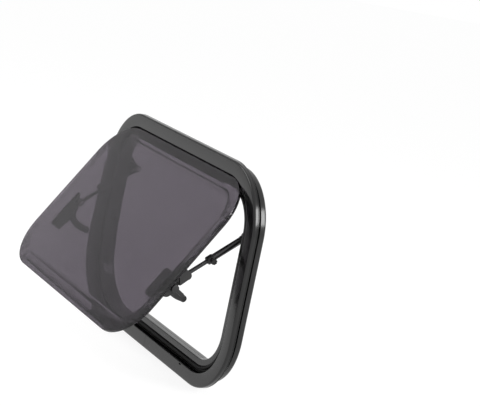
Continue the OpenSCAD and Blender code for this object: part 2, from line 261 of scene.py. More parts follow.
def moulded(name, forms, voxel, cuts=(), rounds=5, keep=0.3):  # one soft-edged skin over all the forms
    obj = bpy.data.objects.new(name, meshOf(name, forms))
    scene.collection.objects.link(obj)
    skinned(obj, voxel)
    cutters = [cutterFor(obj, [form]) for form in cuts]
    if cutters:
        skinned(obj, voxel)
    soften = obj.modifiers.new("soften", "SMOOTH")
    soften.factor, soften.iterations = 0.5, rounds
    fewer = obj.modifiers.new("fewer", "DECIMATE")
    fewer.ratio = keep
    bpy.context.view_layer.update()
    mesh = evaluated(obj)
    for cutter in cutters:
        bpy.data.objects.remove(cutter)
    return mesh


def placed(name, mesh, place, body, slot, nodes=(), smoothAngle=35, finish=None):
    mesh = mesh.copy()
    mesh.name = name
    mesh.transform(Matrix.Scale(millimetre, 4) @ place)
    bm = bmesh.new()
    bm.from_mesh(mesh)
    bmesh.ops.recalc_face_normals(bm, faces=bm.faces)
    bm.to_mesh(mesh)
    bm.free()
    for polygon in mesh.polygons:
        polygon.use_smooth = True
    mesh.set_sharp_from_angle(angle=math.radians(smoothAngle))
    mesh.materials.clear()
    mesh.materials.append(finish or material[slot])
    obj = bpy.data.objects.new(name, mesh)
    scene.collection.objects.link(obj)
    if nodes:
        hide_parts(*nodes)
    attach(obj, body)


def placedInPairs(rows):  # each piece on the left and on the right; a body's name ending in _ has one for each side
    for side in sides:
        for name, mesh, place, body, slot, node, smoothAngle in rows:
            nodes = [node + "_" + side] if node else ()
            carrier = body + side if body.endswith("_") else body
            placed(name + "_" + side, mesh, onSide(side, place), carrier, slot, nodes, smoothAngle)


# Materials
class Wire:  # a socket that takes part in expressions
    def __init__(self, tree, socket=None):
        self.tree, self.socket = tree, socket

    def node(self, kind, settings=None, values=None, output=0):
        made = self.tree.nodes.new(kind)
        for key, value in (settings or {}).items():
            if key == "stops":
                ramp = made.color_ramp
                while len(ramp.elements) < len(value):
                    ramp.elements.new(0.5)
                for element, (position, level) in zip(ramp.elements, value):
                    element.position, element.color = position, (level, level, level, 1)
            else:
                setattr(made, key, value)
        for key, value in (values or {}).items():
            if isinstance(value, Wire):
                self.tree.links.new(value.socket, made.inputs[key])
            else:
                made.inputs[key].default_value = value
        return Wire(self.tree, made.outputs[output])

    def maths(self, operation, a, b=0.0):
        return self.node("ShaderNodeMath", {"operation": operation}, {0: a, 1: b})

    def __add__(self, other):
        return self.maths("ADD", self, other)

    def __radd__(self, other):
        return self.maths("ADD", other, self)

    def __sub__(self, other):
        return self.maths("SUBTRACT", self, other)

    def __rsub__(self, other):
        return self.maths("SUBTRACT", other, self)

    def __mul__(self, other):
        return self.maths("MULTIPLY", self, other)

    def __rmul__(self, other):
        return self.maths("MULTIPLY", other, self)

    def limited(self):
        return self.node("ShaderNodeClamp", None, {"Value": self})

    def stepped(self, low, high):
        return self.node("ShaderNodeValToRGB", {"stops": ((low, 0), (high, 1))}, {"Fac": self})

    def noise(self, scale, detail=3.0, roughness=0.5, stretch=None, source=3):
        place = self.node("ShaderNodeTexCoord", None, None, source)
        if stretch:
            place = self.node("ShaderNodeMapping", None, {"Vector": place, "Scale": stretch})
        values = {"Vector": place, "Scale": scale, "Detail": detail, "Roughness": roughness}
        return self.node("ShaderNodeTexNoise", None, values)

    def blend(self, amount, first, second):  # a colour between two colours
        return self.node("ShaderNodeMix", {"data_type": "RGBA"}, {0: amount, 6: first, 7: second}, 2)


usual = {  # what a finish has unless its own recipe says otherwise
    "grainScale": 2600, "grainStretch": None, "grainSource": 3, "grainHeight": 0.5, "roughGrain": 0.12,
    "swellScale": 420, "swellHeight": 0.5, "bump": 0.25, "bumpDepth": 0.0001,
    "patchScale": 16, "range": 0.12, "speckScale": 900, "specks": 0.25, "hazeScale": 38, "haze": 0.12,
    "dust": (0.16, 0.155, 0.15), "scuffScale": 70, "scuffs": 0.3, "shine": 0.12, "fixed": {},
}


def surface(name, recipe):
    recipe = {**usual, **recipe}
    made = bpy.data.materials.new(name)
    made.use_nodes = True
    tree = made.node_tree
    shader = tree.nodes["Principled BSDF"]
    w = Wire(tree)
    grain = w.noise(recipe["grainScale"], 2.0, 0.6, recipe["grainStretch"], recipe["grainSource"])
    swell = w.noise(recipe["swellScale"], 2.0)
    patch = w.noise(recipe["patchScale"], 5.0, 0.6)
    specks = w.noise(recipe["speckScale"], 3.0, 0.7).stepped(0.66, 0.74)
    haze = w.noise(recipe["hazeScale"], 6.0, 0.65).stepped(0.45, 0.8)
    dust = (specks * recipe["specks"] + haze * recipe["haze"]).limited()
    scuffs = w.noise(recipe["scuffScale"], 4.0, 0.7, (1.0, 9.0, 0.6)).stepped(0.62, 0.7) * recipe["scuffs"]
    dark, light = [(*[c * k for c in recipe["colour"]], 1) for k in (1 - recipe["range"], 1 + recipe["range"])]
    colour = w.blend(patch, dark, light)
    colour = w.blend(dust, colour, (*recipe["dust"], 1))
    rough = (recipe["rough"] + (grain - 0.5) * recipe["roughGrain"] + dust * 0.35 + (patch - 0.5) * 0.1
             - scuffs * recipe["shine"])
    height = grain * recipe["grainHeight"] + swell * recipe["swellHeight"]
    tree.links.new(colour.socket, shader.inputs["Base Color"])
    tree.links.new(rough.limited().socket, shader.inputs["Roughness"])
    bump = w.node("ShaderNodeBump", None, {"Strength": recipe["bump"], "Distance": recipe["bumpDepth"], "Height": height})
    tree.links.new(bump.socket, shader.inputs["Normal"])
    for key, value in recipe["fixed"].items():
        shader.inputs[key].default_value = value
    return made


finishes = {
    "frame_black": {"colour": (0.0045, 0.0045, 0.0047), "rough": 0.18, "roughGrain": 0.06, "swellScale": 520, "bump": 0.1,
                    "haze": 0.02, "specks": 0.03, "fixed": {"Specular IOR Level": 0.45}},
    "ring_black": {"colour": (0.006, 0.006, 0.0062), "rough": 0.19, "roughGrain": 0.06, "swellScale": 480, "bump": 0.1,
                   "haze": 0.02, "specks": 0.03, "fixed": {"Specular IOR Level": 0.45}},
    "seal_rubber": {"colour": (0.003, 0.003, 0.003), "rough": 0.66, "grainScale": 3400, "bump": 0.3, "specks": 0.12,
                    "haze": 0.04, "fixed": {"Specular IOR Level": 0.25}},
    "fitting_black": {"colour": (0.012, 0.012, 0.0125), "rough": 0.42, "grainScale": 4200, "bump": 0.45, "specks": 0.15,
                      "haze": 0.06},
    "fitting_metal": {"colour": (0.46, 0.455, 0.44), "rough": 0.3, "grainStretch": (1, 0.05, 1), "roughGrain": 0.25,
                      "bump": 0.15, "dust": (0.2, 0.2, 0.19), "fixed": {"Metallic": 1.0}},
    "tube_black": {"colour": (0.014, 0.014, 0.015), "rough": 0.2, "grainScale": 9000, "grainStretch": (1, 0.02, 1),
                   "grainSource": 2, "roughGrain": 0.3, "bump": 0.2, "specks": 0.08, "haze": 0.04,
                   "fixed": {"Specular IOR Level": 0.8}},
    "rod_metal": {"colour": (0.05, 0.05, 0.052), "rough": 0.24, "grainScale": 9000, "grainStretch": (1, 0.02, 1),
                  "grainSource": 2, "roughGrain": 0.25, "bump": 0.15, "scuffs": 0.6, "fixed": {"Metallic": 0.6}},
    "knob_black": {"colour": (0.010, 0.010, 0.010), "rough": 0.5, "grainScale": 5000, "bump": 0.5, "specks": 0.2},
    "lever_black": {"colour": (0.011, 0.011, 0.0115), "rough": 0.3, "grainScale": 3000, "bump": 0.12, "scuffs": 0.7,
                    "specks": 0.12},
}
material = {name: surface(name, recipe) for name, recipe in finishes.items()}


clear = {"patchScale": 9, "smearScale": 26, "bump": 0.2, "index": 1.4}  # what both sheets of the pane share


def acrylic(name, recipe):
    made = bpy.data.materials.new(name)
    made.use_nodes = True
    tree = made.node_tree
    shader = tree.nodes["Principled BSDF"]
    w = Wire(tree)
    patch = w.noise(clear["patchScale"], 4.0, 0.6)
    smears = w.noise(clear["smearScale"], 6.0, 0.7, (1.0, 1.0, 0.35)).stepped(0.5, 0.85)
    deep, pale = [(*[c * k for c in recipe["tint"]], 1) for k in (0.94, 1.06)]
    waves = w.noise(recipe["waveScale"], 2.0)
    bump = w.node("ShaderNodeBump", None, {"Strength": clear["bump"], "Distance": recipe["waveDepth"], "Height": waves})
    tree.links.new(w.blend(patch, deep, pale).socket, shader.inputs["Base Color"])
    tree.links.new((smears * recipe["smears"]).limited().socket, shader.inputs["Roughness"])
    tree.links.new(bump.socket, shader.inputs["Normal"])
    shader.inputs["Transmission Weight"].default_value = 1.0
    shader.inputs["IOR"].default_value = clear["index"]
    return made


sheetTint = acrylic("sheetTint", {"tint": (0.25, 0.225, 0.26), "smears": 0.0, "waveScale": 9, "waveDepth": 0.00005})
shellTint = acrylic("shellTint", {"tint": (0.34, 0.315, 0.35), "smears": 0.01, "waveScale": 12, "waveDepth": 0.00006})
print("finishes ready")

# The fixed frame
profile = {
    "grooves": (0.9, 2.25), "grooveDeep": 0.4, "grooveHalf": 0.36,  # two fine grooves along the upright side
    "softRim": 0.35, "roll": 6, "lip": 1.2, "web": 2, "landInset": 34, "landOut": 0.5,
    "port": (27, 33), "portDeep": -16, "stop": (17, 19), "stopDeep": -12,  # two legs behind the flange
    "seam": 0.3, "softEnd": 0.15,
    "drainX": 129, "drainWidth": 7, "drainHigh": 2.4, "drainBelow": 1.7, "drainFoot": 3,
}


def frameSection():
    deep, half, web = profile["grooveDeep"], profile["grooveHalf"], profile["web"]
    sleeve, lip, out, front = window["sleeveInset"], window["faceWidth"], window["flangeOut"], window["ringFront"]
    land, step, rebate = profile["landInset"], profile["landOut"], -window["rebate"]
    corners = [(0, 0, profile["softRim"])]
    for middle in profile["grooves"]:
        corners += [(0, middle - half, 0.1), (deep, middle - half / 2, 0.12),
                    (deep, middle + half / 2, 0.12), (0, middle + half, 0.1)]
    corners += [(0, out, profile["roll"]), (lip, out, profile["lip"]), (lip, rebate, 0.5), (land, rebate, 0.5),
                (land, step, 0.5), (sleeve, step, 1.2), (sleeve, front, 0.3), (sleeve - web, front, 0.3),
                (sleeve - web, rebate - web, 0.4)]
    (portLow, portHigh), (stopLow, stopHigh) = profile["port"], profile["stop"]
    corners += [(portHigh, rebate - web, 0.3), (portHigh, profile["portDeep"], 0.3), (portLow, profile["portDeep"], 0.3),
                (portLow, rebate - web, 0.3), (stopHigh, rebate - web, 0.4), (stopHigh, profile["stopDeep"], 0.3),
                (stopLow, profile["stopDeep"], 0.3), (stopLow, 0, 0.3)]
    return filleted(corners, 6)


def halfTurned(path):  # the same way round, but starting at the bottom's middle
    middle = len(path) // 2
    bottom = (0, -window["height"] / 2, 0, -1)
    return [bottom] + path[middle:-1] + path[1:middle] + [bottom]


def seamed(section, gap):  # a sweep whose two ends meet below with a fine butt joint
    path = halfTurned(rimPath())
    section = counterClockwise(section)
    tight, soft = movedIn(section, profile["softEnd"]), profile["softEnd"]
    rows = along(path, section)
    first, last = along(path[:1], tight)[0], along(path[-1:], tight)[0]
    start = [[(x - gap / 2, y, z) for x, y, z in first], [(x - gap / 2 - soft, y, z) for x, y, z in rows[0]]]
    end = [[(x + gap / 2 + soft, y, z) for x, y, z in rows[-1]], [(x + gap / 2, y, z) for x, y, z in last]]
    return start + rows[1:-1] + end


def drainSlots():  # two small slots in the face, just below the lip
    top = window["midHeight"] - window["height"] / 2 + window["faceWidth"] - profile["drainBelow"]
    half, high, out = profile["drainWidth"] / 2, profile["drainHigh"], window["flangeOut"]
    return [plateY(roundedBox(x - half, top - high, x + half, top, 1), -out - 1, profile["drainFoot"] - out, 0)
            for x in (-profile["drainX"], profile["drainX"])]


frameMesh = trimmed("outerFrame", meshOf("outerFrame", [seamed(frameSection(), profile["seam"])]), drainSlots())
placed("outerFrame", frameMesh, onWall, "frame", "frame_black", ["outer_frame"], 28)

ring = {"wall": 2.5, "roll": 4, "inner": 1.5, "seam": 0.5}


def ringSection():
    low, high, front, back = window["ringInset"], window["sleeveInset"], window["ringFront"], window["ringBack"]
    wall = ring["wall"]
    return filleted([(low, front, 0.5), (low, back, ring["roll"]), (high, back, ring["roll"]), (high, front, 0.5),
                     (high - wall, front, 0.5), (high - wall, back + wall, ring["inner"]),
                     (low + wall, back + wall, ring["inner"]), (low + wall, front, 0.5)], 8)


ringMesh = meshOf("clampRing", [seamed(ringSection(), ring["seam"])])
placed("clampRing", ringMesh, onWall, "frame", "ring_black", ["clamp_ring"], 28)

seal = {"from": 23, "to": 33.5, "base": 1.5, "bulb": 2.6, "end": 4}


def sealSection():
    low, high, floor = seal["from"], seal["to"], -window["rebate"]
    top, r = floor + seal["base"], seal["bulb"]
    cx, cy = high - r, floor + r
    return ([(low, floor), (high - 1.2, floor)] + arcPoints(cx, cy, r, -70, 190, 22)
            + [(cx - r + 0.1, top), (25.6, top), (25.2, 1.4), (24.9, 1.6), (24.6, 1.4), (24.3, top), (low, top)])


sealPath = rimPath(window["hingeLength"] / 2 + seal["end"])  # it stops at both ends of the hinge
sealMesh = meshOf("windowSeal", [along(sealPath, sealSection())])
placed("windowSeal", sealMesh, onWall, "frame", "seal_rubber", ["window_seal"], 40)

hinge = {"socket": 2.4, "bead": 1.4, "play": 0.3, "mouth": (125, 364.7), "footHalf": 3, "foot": 1.5,
         "leaf": 1.6, "leafFrom": 2.2, "leafWidth": 12}


def alongHinge(points):  # points are (down from the axis, outward)
    half, axisZ, axisY = window["hingeLength"] / 2, hingeHeight, -window["hingeOut"]
    return [[(x, axisY - out, axisZ - down) for down, out in loop] for loop, x in edged(points, -half, half, 0.15)]


def channelSection():
    r, bore, floor = hinge["socket"], hinge["bead"] + hinge["play"], -window["hingeOut"] - window["rebate"]
    half, top, (first, last) = hinge["footHalf"], floor + hinge["foot"], hinge["mouth"]
    meet = math.degrees(math.asin(1.0 / r))
    return (arcPoints(0, 0, r, first, 180 + meet, 10) + [(-half, top), (-half, floor), (half, floor), (half, top)]
            + arcPoints(0, 0, r, 360 - meet, last, 5) + arcPoints(0, 0, bore, last, first, 20))


def leafSection():
    top, start = window["edgeOut"] - window["hingeOut"], hinge["leafFrom"]
    low, end = top - hinge["leaf"], start + hinge["leafWidth"]
    return (arcPoints(0, 0, hinge["bead"], 80, 385, 26)
            + [(start + 0.3, low), (end - 0.4, low), (end, low + 0.4), (end, top), (start + 0.2, top - 0.05)])


channelMesh = meshOf("hingeChannel", [alongHinge(channelSection())])
placed("hingeChannel", channelMesh, onWall, "frame", "frame_black", ["hinge_channel"])
leafMesh = meshOf("hingeLeaf", [alongHinge(leafSection())])
placed("hingeLeaf", leafMesh, onPane, "flap", "frame_black", ["hinge_leaf"])
print("frame, ring, seal and hinge made")

# The double pane
pane = {"edge": 0.7, "shellInset": 50, "shellTop": 56, "flatInset": 70, "shell": 2, "bend": 2.5}


def sheetSteps():
    u, top, low, e = window["paneInset"], window["sheetOut"], window["shellOut"], pane["edge"]
    turns = [math.radians(a) for a in (0, 22.5, 45, 67.5, 90)]
    front = [(u + e * (1 - math.sin(a)), top - e * (1 - math.cos(a))) for a in turns]
    return front + [(u, low + 0.3), (u + 0.3, low)]


def shellSteps():  # the moulded sheet from its back's flat, over wall and rim, and back to its front's flat
    u, out, edge, back, t = window["paneInset"], window["shellOut"], window["edgeOut"], window["shellBack"], pane["shell"]
    wall, top, flat, b = pane["shellInset"], pane["shellTop"], pane["flatInset"], pane["bend"]
    return filleted([(flat, back + t, 0), (top + t, back + t, b), (wall + t, out, b + t), (u + 2, out, 0), (u, out, 0.5),
                     (u, edge, 0.5), (wall, edge, b), (top, back, b + t), (flat, back, 0)], 5)


sheetMesh, shellMesh = meshOf("outerSheet", [rings(sheetSteps())]), meshOf("innerPane", [rings(shellSteps())])
placed("outerPane", sheetMesh, onPane, "flap", "pane_tint", ["outer_pane"], 40, sheetTint)
placed("innerPane", shellMesh, onPane, "flap", "pane_tint", ["inner_pane"], 50, shellTint)
print("double pane made")

# Stays: all but the bracket and the pin are made hanging down from a pivot at the origin
bracket = {"x": 216, "width": 27, "half": 14, "thick": 2.5, "rib": 3.5, "ribHalf": 9, "ear": 7.8, "boss": 6.8,
           "corner": 4, "voxel": 0.42}


def bracketForms():
    x0, y0, z0 = bracket["x"], -window["ringBack"], window["midHeight"] + window["stayUp"]
    x1, half, reach = x0 + bracket["rib"], bracket["half"], bracket["ribHalf"]
    plate = roundedBox(x0, z0 - half, x0 + bracket["width"], z0 + half, bracket["corner"])
    rib = roundedBox(y0, z0 - reach, window["stayY"] + 3.5, z0 + reach, 1.2)
    ear = arcPoints(window["stayY"], z0, bracket["ear"], 0, 348, 29)
    boss = barrel(window["stayX"] + 6, x0 + 1, bracket["boss"], 0.8)
    return [plateY(plate, y0, y0 + bracket["thick"], 0.6), slabX(rib, x0, x1, 0.5), slabX(ear, x0, x1, 0.5),
            turnedX(boss, window["stayY"], z0)]


head = {"radius": 6.5, "half": 5.5, "sleeve": 14, "plug": 20, "voxel": 0.38}


def headForms():  # the cross barrel, a sleeve on the tube's end, a plug in its bore and a bead between
    bead = [(-9.2, 5.2), (-8.2, 6.1), (-7, 6.1), (-5, 5.6)]
    return [turnedX(barrel(-head["half"], head["half"], head["radius"], 1.0)),
            turnedZ(barrel(-head["sleeve"], -2, tube["radius"], 0.3)),
            turnedZ(barrel(-head["plug"], -10, tube["bore"] - 0.1, 0.3)), turnedZ(bead)]


tube = {"radius": 5.25, "bore": 3.5, "length": 71, "soft": 0.5, "bored": 8}


def tubeForm():
    r, bore, soft, low, high = tube["radius"], tube["bore"], tube["soft"], -tube["length"], -head["sleeve"]
    return turnedZ([(low + tube["bored"], bore), (low + 0.3, bore), (low, bore + 0.3), (low, r - soft), (low + soft, r),
                    (high - soft, r), (high, r - soft), (high, bore + 0.3), (high - 0.3, bore)], 48)


collar = {"radius": 6.65, "below": 1.5, "height": 12, "boss": 3.6, "voxel": 0.32}


def collarForms():
    r, height, low = collar["radius"], collar["height"], -tube["length"] - collar["below"]
    rows = [(low, r - 1.4), (low + 0.5, r - 0.5), (low + 1.2, r - 0.1), (low + 3, r), (low + height - 3, r),
            (low + height - 1.2, r - 0.1), (low + height - 0.4, r - 0.5), (low + height, r - 1.2)]
    return [turnedZ(rows, 48), turnedX(barrel(0, r + 1.5, collar["boss"], 0.4), 0, low + height / 2)]


def collarCuts():  # room for the tube's end and for the rod
    low, room, bore = -tube["length"], tube["radius"] + 0.05, tube["bore"]
    return [turnedZ([(low + 0.2, room), (low + 20, room)]), turnedZ([(low - 6, bore), (low + 1, bore)])]


knob = {"radius": 4.8, "notch": 0.75, "notches": 8, "from": 3, "to": 8.2, "stem": 2}


def knobForms():
    x0, z0 = collar["radius"], collar["height"] / 2 - collar["below"] - tube["length"]
    lobes = []
    for k in range(96):  # a round grip with notches
        a = 2 * math.pi * k / 96
        radius = knob["radius"] - knob["notch"] * max(0.0, math.cos(knob["notches"] * a)) ** 3
        lobes.append((math.cos(a) * radius, z0 + math.sin(a) * radius))
    top = [(x0 + 7.6, 2.6), (x0 + 8.0, 2.6), (x0 + 8.0, 2.2), (x0 + 7.7, 2.0), (x0 + 7.7, 0.3)]
    return [slabX(lobes, x0 + knob["from"], x0 + knob["to"], 0.7),
            turnedX(barrel(x0 + 1.5, x0 + 4, knob["stem"], 0.2), 0, z0), turnedX(top, 0, z0)]


rod = {"radius": 3.3, "low": 4, "high": 57.58}  # low and high above the eye


def rodForm():
    r, low, high = rod["radius"], rod["low"] - window["stayLength"], rod["high"] - window["stayLength"]
    return turnedZ([(low, r - 0.4), (low + 0.4, r), (high - 0.6, r), (high, r - 0.6)])


eye = {"radius": 6, "half": 4.3, "sleeve": 4, "rivet": 3.4, "voxel": 0.32}


def eyeForms():
    z0, half, sleeve = -window["stayLength"], eye["half"], eye["sleeve"]
    return [turnedX(barrel(-half, half, eye["radius"], 0.8), 0, z0),
            turnedZ([(z0 + 2, sleeve), (z0 + 5.4, sleeve), (z0 + 6.2, sleeve - 0.2), (z0 + 6.5, sleeve - 0.6)])]


def rivetForm():
    x0, r = -eye["half"], eye["rivet"]
    return turnedX([(x0 - 1.5, 0.5), (x0 - 1.45, 1.6), (x0 - 1.1, 2.7), (x0 - 0.5, r), (x0 + 0.2, r + 0.1)],
                   0, -window["stayLength"])


pin = {"radius": 2.5, "head": 4.5}


def pinForm():
    x0, x1, r, wide = window["stayX"], bracket["x"] + 3, pin["radius"], pin["head"]
    return turnedX([(x0 - 8.5, 2.6), (x0 - 8.2, 3.6), (x0 - 7.6, 4.3), (x0 - 7, wide), (x0 - 6.1, wide),
                    (x0 - 6, wide - 0.3), (x0 - 6, r), (x1 - 0.4, r), (x1, r - 0.4)],
                   window["stayY"], window["midHeight"] + window["stayUp"])


bracketMesh = moulded("stayBracket", bracketForms(), bracket["voxel"])
headMesh = moulded("stayHead", headForms(), head["voxel"], rounds=3)
collarMesh = moulded("stayCollar", collarForms(), collar["voxel"], collarCuts(), rounds=2)
eyeMesh = moulded("stayEye", eyeForms(), eye["voxel"], rounds=3)
tubeMesh, rodMesh = meshOf("stayTube", [tubeForm()], True), meshOf("stayRod", [rodForm()])
knobMesh, pinMesh = meshOf("stayKnob", knobForms()), meshOf("stayPin", [pinForm()])
rivetMesh = meshOf("stayRivet", [rivetForm()])
placedInPairs((  # name, mesh, place, body, slot, node, smooth angle
    ("stayBracket", bracketMesh, onWall, "frame", "fitting_black", "stay_bracket", 60),
    ("stayPin", pinMesh, onWall, "frame", "fitting_metal", "stay_pin", 35),
    ("stayHead", headMesh, onStay, "stay_", "fitting_black", "stay_head", 60),
    ("stayTube", tubeMesh, onStay, "stay_", "tube_black", "stay_tube", 35),
    ("stayCollar", collarMesh, onStay, "stay_", "fitting_black", "stay_collar", 60),
    ("stayKnob", knobMesh, onStay, "stay_", "knob_black", "stay_knob", 30),
    ("stayRod", rodMesh, onStay, "rod_", "rod_metal", "stay_rod", 35),
    ("stayEye", eyeMesh, onStay, "rod_", "fitting_black", "stay_eye", 60),
    ("stayRivet", rivetMesh, onStay, "rod_", "fitting_metal", None, 40),
))
print("stays made")

# Latches: the lever, spindle and hook are made round an axis at the origin
base = {"x": (169, 208.8), "z": (-69, -18), "thick": 3, "tongue": 12, "tongueUp": 11, "corner": 7}
footY = window["paneFace"] + base["thick"]  # where the fittings stand
latchHeight = window["midHeight"] + window["latchUp"]


def baseForm():  # a plate with a narrow tongue that runs up under the lug
    (left, right), (bottom, top) = base["x"], [window["midHeight"] + z for z in base["z"]]
    tongueLeft, tongueTop, r = right - base["tongue"], window["midHeight"] + lug["up"] + base["tongueUp"], base["corner"]
    outline = filleted([(left, bottom, r), (right, bottom, r), (right, tongueTop, 4), (tongueLeft, tongueTop, 4),
                        (tongueLeft, top, 3), (left, top, r)], 8)
    return plateY(outline, footY - base["thick"], footY, 0.7)


lug = {"x": (205.8, 209.3), "y": 22.5, "up": -9, "radius": 6.5, "half": 6.3, "foot": 2.2, "rivet": 3.2, "voxel": 0.3}


def lugForms():
    y1, z0, half, (x0, x1) = lug["y"], window["midHeight"] + lug["up"], lug["half"], lug["x"]
    outline = [(footY, z0 - half), (y1 - 1, z0 - half - 0.1)] + arcPoints(y1, z0, lug["radius"], -78, 78, 14)
    outline.append((footY, z0 + half))
    top = footY + lug["foot"]
    foot = [(footY, z0 - half), (top, z0 - half), (top, z0 + half), (footY, z0 + half)]
    shoulder, crown = latchHeight + block["top"], block["crown"]
    web = [(footY + 1, z0 - 5), (footY + 1, shoulder - 1), (footY + 4, shoulder - 1), (crown - 1.5, shoulder - 9),
           (crown - 0.3, shoulder - 7), (y1 + 5.2, z0 - 3.6)]  # joins the lug to the block's sloping top
    return [slabX(outline, x0, x1, 0.4), slabX(web, x0, x1, 0.4),
            turnedX([(x1 - 0.6, lug["rivet"]), (x1 - 0.05, lug["rivet"])], y1, z0), slabX(foot, x0, x1, 0.2)]


block = {"x": (188, 209), "top": 17, "low": 20, "crown": 24, "slot": (5, 10), "slotDeep": 5, "voxel": 0.42}


def blockForms():  # the latch's body, and a lower lobe on its outer side
    z0, crown, top, low, (x0, x1) = latchHeight, block["crown"], block["top"], block["low"], block["x"]
    side = ([(footY, z0 - low), (footY, z0 + top), (footY + 4, z0 + top)] + arcPoints(crown - 4, z0 + top - 10, 4, 50, 0, 6)
            + arcPoints(crown - 10, z0 + 10 - low, 10, 0, -90, 12))
    lobe = ([(footY, z0 - low + 4), (footY, z0 + top - 2), (footY + 3.5, z0 + top - 2)]
            + arcPoints(crown - 4.5, z0 + top - 12, 4, 50, 0, 6) + arcPoints(crown - 10.5, z0 + 14.5 - low, 10, 0, -90, 12))
    return [slabX(side, x0, x1 - 3, 1.6), slabX(lobe, x0 + 4, x1, 1.4)]


def blockCuts():  # a slot across the lobe
    x1, y0, y1, deep = block["x"][1], footY + 4, footY + 30, block["slotDeep"]
    low, high = [latchHeight + z for z in block["slot"]]
    return [slabX([(y0, low), (y1, low), (y1, high), (y0, high)], x1 - deep, x1 + deep, 0)]


lever = {"x": (178.5, 187.5), "length": 46, "grip": 5.5, "gripLift": 0.6, "hub": 6.4, "shank": 5.6, "broad": 3.3, "bow": 4.6,
         "voxel": 0.36}


def leverForms():
    bow, tip, (x0, x1) = lever["bow"], lever["length"] - lever["grip"], lever["x"]
    middle, bend = (x0 + x1) / 2, (tip * tip / 4 + bow * bow) / (2 * bow)
    half = math.asin(tip / 2 / bend)
    loops = []
    for k in range(33):  # the shank: a bowed loft that narrows from the hub
        s = k / 32
        a = half * (2 * s - 1)
        thick = lever["shank"] + (lever["hub"] - 1 - lever["shank"]) * max(0.0, 1 - s / 0.6) ** 1.5
        broad = lever["broad"] + 0.7 * max(0.0, 1 - s / 0.5)
        cy, cz = bow - bend + bend * math.cos(a), tip / 2 + bend * math.sin(a)
        loop = []
        for i in range(28):
            c, n = math.cos(2 * math.pi * i / 28), math.sin(2 * math.pi * i / 28)
            across, out = math.copysign(abs(c) ** 0.7, c) * broad, math.copysign(abs(n) ** 0.7, n) * thick
            loop.append((middle + across, cy + out * math.cos(a), cz + out * math.sin(a)))
        loops.append(loop)
    grip = turnedX(barrel(x0 + 1, x1 - 1, lever["grip"], 1.3), lever["gripLift"], tip)
    return [loops, grip, turnedX(barrel(x0, x1, lever["hub"], 0.9))]


hook = {"x": (209.5, 215.5), "radius": 6, "half": 3, "reach": 19}


def hookForm():
    r, half = hook["radius"], hook["half"]
    meet = math.degrees(math.asin(half / r))
    outline = arcPoints(0, 0, r, 90 + meet, 450 - meet, 28) + arcPoints(0, hook["reach"] - half, half, 0, 180, 12)
    return slabX(outline, *hook["x"], 0.5)


spindle = {"radius": 3.5}


def spindleForm():
    x0, x1, r = lever["x"][1], hook["x"][0], spindle["radius"]
    return turnedX([(x0 - 0.5, 2.4), (x0 - 0.5, 3.1), (x0, r), (x1 - 0.1, r), (x1, r - 0.2)])


keeper = {"low": 11, "height": 8, "nose": 3, "play": 0.5, "plateOut": 3.5, "plateHalf": 7, "plateHeight": 18, "plate": 2}


def keeperForms():  # a plate on the frame's web with a nose that the hook catches
    wall, nose = window["width"] / 2 - window["sleeveInset"], keeper["nose"]
    catch, z0 = window["spindleY"] - hook["half"] - keeper["play"], latchHeight + keeper["low"]
    middle, half = catch - keeper["plateOut"], keeper["plateHalf"]
    plate = roundedBox(middle - half, z0, middle + half, z0 + keeper["plateHeight"], 3)
    x0, x1 = hook["x"][0] + 1, wall - 1
    plan = arcPoints(x0 + nose, catch - nose, nose, 90, 270, 12) + [(x1, catch - 2 * nose), (x1, catch)]
    loops = [[(x, y, z) for x, y in loop] for loop, z in edged(plan, z0, z0 + keeper["height"], 0.5)]
    return [slabX(plate, wall - keeper["plate"], wall, 0.4), loops]


lugMesh = moulded("stayLug", lugForms(), lug["voxel"], rounds=2)
blockMesh = moulded("latchBody", blockForms(), block["voxel"], blockCuts())
leverMesh = moulded("latchLever", leverForms(), lever["voxel"])
baseMesh, keeperMesh = meshOf("latchBase", [baseForm()]), meshOf("keeper", keeperForms())
hookMesh, spindleMesh = meshOf("latchHook", [hookForm()]), meshOf("latchSpindle", [spindleForm()])
placedInPairs((
    ("keeper", keeperMesh, onWall, "frame", "fitting_black", "keeper", 35),
    ("stayLug", lugMesh, onPane, "flap", "fitting_black", "stay_lug", 60),
    ("latchBase", baseMesh, onPane, "flap", "fitting_black", "latch_base", 35),
    ("latchBody", blockMesh, onPane, "flap", "fitting_black", "latch_body", 60),
    ("latchLever", leverMesh, onLever, "lever_", "lever_black", "latch_lever", 60),
    ("latchSpindle", spindleMesh, onLever, "lever_", "fitting_black", "latch_spindle", 35),
    ("latchHook", hookMesh, onLever, "lever_", "fitting_black", "latch_hook", 35),
))
print("latches made")

# Screws
screw = {
    "dome": 0.42, "flat": 0.58, "recess": 0.44, "slot": 0.11,  # shares of the head's radius
    "sides": 24, "seed": 7,
    "ringInset": 30, "ringAlong": (-138, -46, 46, 138), "ringUp": (-66, 12), "ringRadius": 3.4,
    "bracketX": 20, "bracketUp": (-8.5, 8.5), "bracketRadius": 2.9, "paneRadius": 2.4,
}


